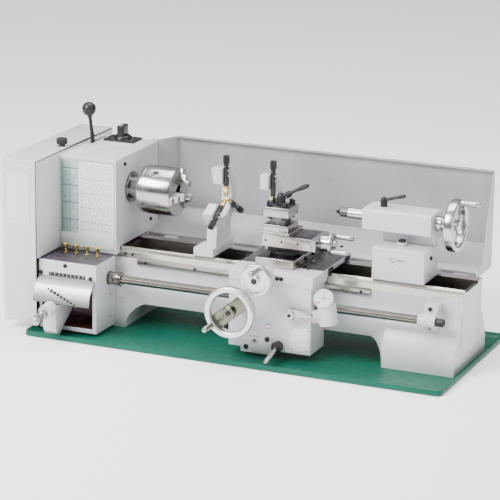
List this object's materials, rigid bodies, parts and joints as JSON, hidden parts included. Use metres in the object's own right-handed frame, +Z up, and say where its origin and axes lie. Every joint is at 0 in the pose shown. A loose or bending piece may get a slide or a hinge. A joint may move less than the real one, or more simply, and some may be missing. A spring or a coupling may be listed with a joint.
{
  "type": "metal lathe",
  "caption": "Bench metal lathe with chuck, feed gearbox, leadscrew, carriage with compound slide and tool post, steady and follow rests, tailstock, splash guard and drip tray.",
  "frame": {"origin": "on the underside of the drip tray, straight below the spindle axis", "axes": "+X along the bed from headstock to tailstock, -Y towards the operator, +Z up"},
  "size_m": [0.951, 0.4626, 0.4355],
  "materials": {
    "machine_paint": "satin",
    "tray_paint": "satin",
    "guard_paint": "satin",
    "ground_steel": "brushed",
    "polished_steel": "polished",
    "black_steel": "satin",
    "black_plastic": "matte",
    "belt_rubber": "matte"
  },
  "bodies": {
    "frame": {"drip_tray": "tray_paint", "bed": "machine_paint", "rack": "ground_steel", "headstock_casting": "machine_paint", "spindle_bearing_front": "ground_steel", "spindle_bearing_rear": "ground_steel", "gearbox_housing": "machine_paint", "gearbox_face_plate": "ground_steel", "splash_guard": "guard_paint", "motor": "machine_paint", "leadscrew_bracket": "machine_paint", "gear_banjo": "ground_steel", "cord_gland": "black_plastic", "steady_rest_frame": "machine_paint", "drive_belt": "belt_rubber"},
    "end_cover": {"end_cover": "machine_paint"},
    "end_cover_knob": {"end_cover_knob": "black_plastic"},
    "belt_lever": {"belt_lever": "black_plastic"},
    "switch": {"switch_knob": "black_plastic"},
    "spindle": {"spindle": "ground_steel", "chuck_backplate": "polished_steel", "chuck_body": "polished_steel", "spindle_pulley": "ground_steel", "spindle_gear": "ground_steel"},
    "jaw_1": {"chuck_jaw_1": "ground_steel"},
    "jaw_2": {"chuck_jaw_2": "ground_steel"},
    "jaw_3": {"chuck_jaw_3": "ground_steel"},
    "motor_shaft": {"motor_pulley": "ground_steel"},
    "idler": {"idler_gear": "ground_steel"},
    "leadscrew": {"leadscrew": "ground_steel", "gearbox_cone": "ground_steel", "leadscrew_gear": "ground_steel"},
    "tumbler": {"tumbler_lever": "machine_paint"},
    "plunger": {"tumbler_plunger": "ground_steel"},
    "carriage": {"saddle": "machine_paint", "apron": "machine_paint", "follow_rest_frame": "machine_paint", "threading_dial": "machine_paint"},
    "carriage_wheel": {"carriage_handwheel": "polished_steel"},
    "pinion": {"rack_pinion": "ground_steel"},
    "half_nut": {"half_nut_lever": "polished_steel"},
    "feed": {"feed_lever": "black_steel"},
    "cross_slide": {"cross_slide": "ground_steel"},
    "cross_wheel": {"cross_slide_handwheel": "polished_steel"},
    "swivel": {"compound_base": "black_steel"},
    "compound": {"compound_slide": "ground_steel"},
    "compound_wheel": {"compound_handwheel": "polished_steel"},
    "post": {"toolpost": "ground_steel"},
    "post_lever": {"toolpost_lever": "black_steel"},
    "steady_1": {"steady_rest_finger_1": "black_steel"},
    "steady_2": {"steady_rest_finger_2": "black_steel"},
    "steady_3": {"steady_rest_finger_3": "black_steel"},
    "follow_1": {"follow_rest_finger_1": "black_steel"},
    "follow_2": {"follow_rest_finger_2": "black_steel"},
    "tailstock": {"tailstock_base": "machine_paint", "tailstock_body": "machine_paint"},
    "quill": {"quill": "polished_steel", "dead_centre": "black_steel"},
    "tail_wheel": {"tailstock_handwheel": "polished_steel"},
    "quill_lock": {"quill_lock_lever": "black_steel"}
  },
  "joints": [
    {"name": "spindle_turn", "type": "hinge", "parent": "frame", "child": "spindle", "pos_m": [-0.2, 0, 0.2776], "axis": [1, 0, 0], "continuous": true},
    {"name": "motor_shaft_turn", "type": "hinge", "parent": "frame", "child": "motor_shaft", "pos_m": [-0.44, 0.134, 0.098], "axis": [1, 0, 0], "continuous": true},
    {"name": "idler_turn", "type": "hinge", "parent": "frame", "child": "idler", "pos_m": [-0.414, -0.06156, 0.21869], "axis": [1, 0, 0], "continuous": true},
    {"name": "leadscrew_turn", "type": "hinge", "parent": "frame", "child": "leadscrew", "pos_m": [0, -0.105, 0.112], "axis": [1, 0, 0], "continuous": true},
    {"name": "jaw_1_slide", "type": "slide", "parent": "spindle", "child": "jaw_1", "axis": [0, -0.9744, -0.225], "range_m": [-0.002, 0.008]},
    {"name": "jaw_2_slide", "type": "slide", "parent": "spindle", "child": "jaw_2", "axis": [0, 0.682, -0.7314], "range_m": [-0.002, 0.008]},
    {"name": "jaw_3_slide", "type": "slide", "parent": "spindle", "child": "jaw_3", "axis": [0, 0.2924, 0.9563], "range_m": [-0.002, 0.008]},
    {"name": "end_cover_slide", "type": "slide", "parent": "frame", "child": "end_cover", "axis": [-1, 0, 0], "range_m": [0, 0.09]},
    {"name": "end_cover_knob_turn", "type": "hinge", "parent": "end_cover", "child": "end_cover_knob", "pos_m": [-0.418, -0.033, 0.36], "axis": [0, 0, 1], "range_deg": [-360, 360]},
    {"name": "belt_lever_swing", "type": "hinge", "parent": "frame", "child": "belt_lever", "pos_m": [-0.392, 0.066, 0.3], "axis": [-1, 0, 0], "range_deg": [0, 28]},
    {"name": "switch_knob_turn", "type": "hinge", "parent": "frame", "child": "switch", "pos_m": [-0.344, 0.098, 0.36], "axis": [0, 0, 1], "range_deg": [-45, 45]},
    {"name": "tumbler_slide", "type": "slide", "parent": "frame", "child": "tumbler", "axis": [1, 0, 0], "range_m": [-0.02, 0.044]},
    {"name": "tumbler_plunger_pull", "type": "slide", "parent": "tumbler", "child": "plunger", "axis": [0, -0.9903, -0.1392], "range_m": [0, 0.006], "stiffness_N_per_m": 400},
    {"name": "carriage_slide", "type": "slide", "parent": "frame", "child": "carriage", "axis": [1, 0, 0], "range_m": [-0.01, 0.025]},
    {"name": "carriage_handwheel_turn", "type": "hinge", "parent": "carriage", "child": "carriage_wheel", "pos_m": [0.0315, -0.19, 0.1055], "axis": [0, 1, 0], "range_deg": [-200, 540]},
    {"name": "rack_pinion_turn", "type": "hinge", "parent": "carriage", "child": "pinion", "pos_m": [0.06, -0.06, 0.1237], "axis": [0, 1, 0], "range_deg": [-300, 120]},
    {"name": "half_nut_lever_turn", "type": "hinge", "parent": "carriage", "child": "half_nut", "pos_m": [0.139, -0.14, 0.101], "axis": [0, 1, 0], "range_deg": [0, 30]},
    {"name": "feed_lever_turn", "type": "hinge", "parent": "carriage", "child": "feed", "pos_m": [0.11, -0.14, 0.03], "axis": [0, 1, 0], "range_deg": [-30, 30]},
    {"name": "cross_slide_feed", "type": "slide", "parent": "carriage", "child": "cross_slide", "axis": [0, 1, 0], "range_m": [-0.025, 0.025]},
    {"name": "cross_handwheel_turn", "type": "hinge", "parent": "carriage", "child": "cross_wheel", "pos_m": [0.0815, -0.18, 0.1735], "axis": [0, 1, 0], "range_deg": [-4000, 4000]},
    {"name": "compound_swivel", "type": "hinge", "parent": "cross_slide", "child": "swivel", "pos_m": [0.088, -0.043, 0.2], "axis": [0, 0, 1], "range_deg": [-30, 30]},
    {"name": "compound_feed", "type": "slide", "parent": "swivel", "child": "compound", "axis": [1, 0, 0], "range_m": [-0.02, 0.02]},
    {"name": "compound_handwheel_turn", "type": "hinge", "parent": "compound", "child": "compound_wheel", "pos_m": [0.17, -0.043, 0.2225], "axis": [1, 0, 0], "range_deg": [-4000, 4000]},
    {"name": "toolpost_turn", "type": "hinge", "parent": "compound", "child": "post", "pos_m": [0.0765, -0.053, 0.26], "axis": [0, 0, 1], "range_deg": [-180, 180]},
    {"name": "toolpost_lever_turn", "type": "hinge", "parent": "post", "child": "post_lever", "pos_m": [0.0765, -0.053, 0.3], "axis": [0, 0, 1], "range_deg": [-60, 60]},
    {"name": "steady_finger_1_slide", "type": "slide", "parent": "frame", "child": "steady_1", "axis": [0, 0, 1], "range_m": [-0.003, 0.02]},
    {"name": "steady_finger_2_slide", "type": "slide", "parent": "frame", "child": "steady_2", "axis": [0, -0.866, -0.5], "range_m": [-0.003, 0.02]},
    {"name": "steady_finger_3_slide", "type": "slide", "parent": "frame", "child": "steady_3", "axis": [0, 0.866, -0.5], "range_m": [-0.003, 0.02]},
    {"name": "follow_finger_1_slide", "type": "slide", "parent": "carriage", "child": "follow_1", "axis": [0, 0, 1], "range_m": [-0.002, 0.02]},
    {"name": "follow_finger_2_slide", "type": "slide", "parent": "carriage", "child": "follow_2", "axis": [0, 1, 0], "range_m": [-0.002, 0.02]},
    {"name": "tailstock_slide", "type": "slide", "parent": "frame", "child": "tailstock", "axis": [1, 0, 0], "range_m": [-0.04, 0.02]},
    {"name": "quill_slide", "type": "slide", "parent": "tailstock", "child": "quill", "axis": [-1, 0, 0], "range_m": [0, 0.04]},
    {"name": "tailstock_handwheel_turn", "type": "hinge", "parent": "tailstock", "child": "tail_wheel", "pos_m": [0.42, 0, 0.2776], "axis": [1, 0, 0], "range_deg": [-100, 7300]},
    {"name": "quill_lock_turn", "type": "hinge", "parent": "tailstock", "child": "quill_lock", "pos_m": [0.272, 0, 0.3], "axis": [0, 0, 1], "range_deg": [-60, 60]}
  ],
  "couplings": [
    {"joint": "motor_shaft_turn", "follows": "spindle_turn", "ratio": 2.0455},
    {"joint": "idler_turn", "follows": "spindle_turn", "ratio": -0.54546},
    {"joint": "leadscrew_turn", "follows": "spindle_turn", "ratio": 0.5},
    {"joint": "jaw_2_slide", "follows": "jaw_1_slide", "ratio": 1},
    {"joint": "jaw_3_slide", "follows": "jaw_1_slide", "ratio": 1},
    {"joint": "carriage_handwheel_turn", "follows": "carriage_slide", "rad_per_m": 251.33},
    {"joint": "rack_pinion_turn", "follows": "carriage_slide", "rad_per_m": -142.86},
    {"joint": "cross_handwheel_turn", "follows": "cross_slide_feed", "rad_per_m": 2513.3},
    {"joint": "compound_handwheel_turn", "follows": "compound_feed", "rad_per_m": 3141.6},
    {"joint": "tailstock_handwheel_turn", "follows": "quill_slide", "rad_per_m": 2513.3}
  ]
}
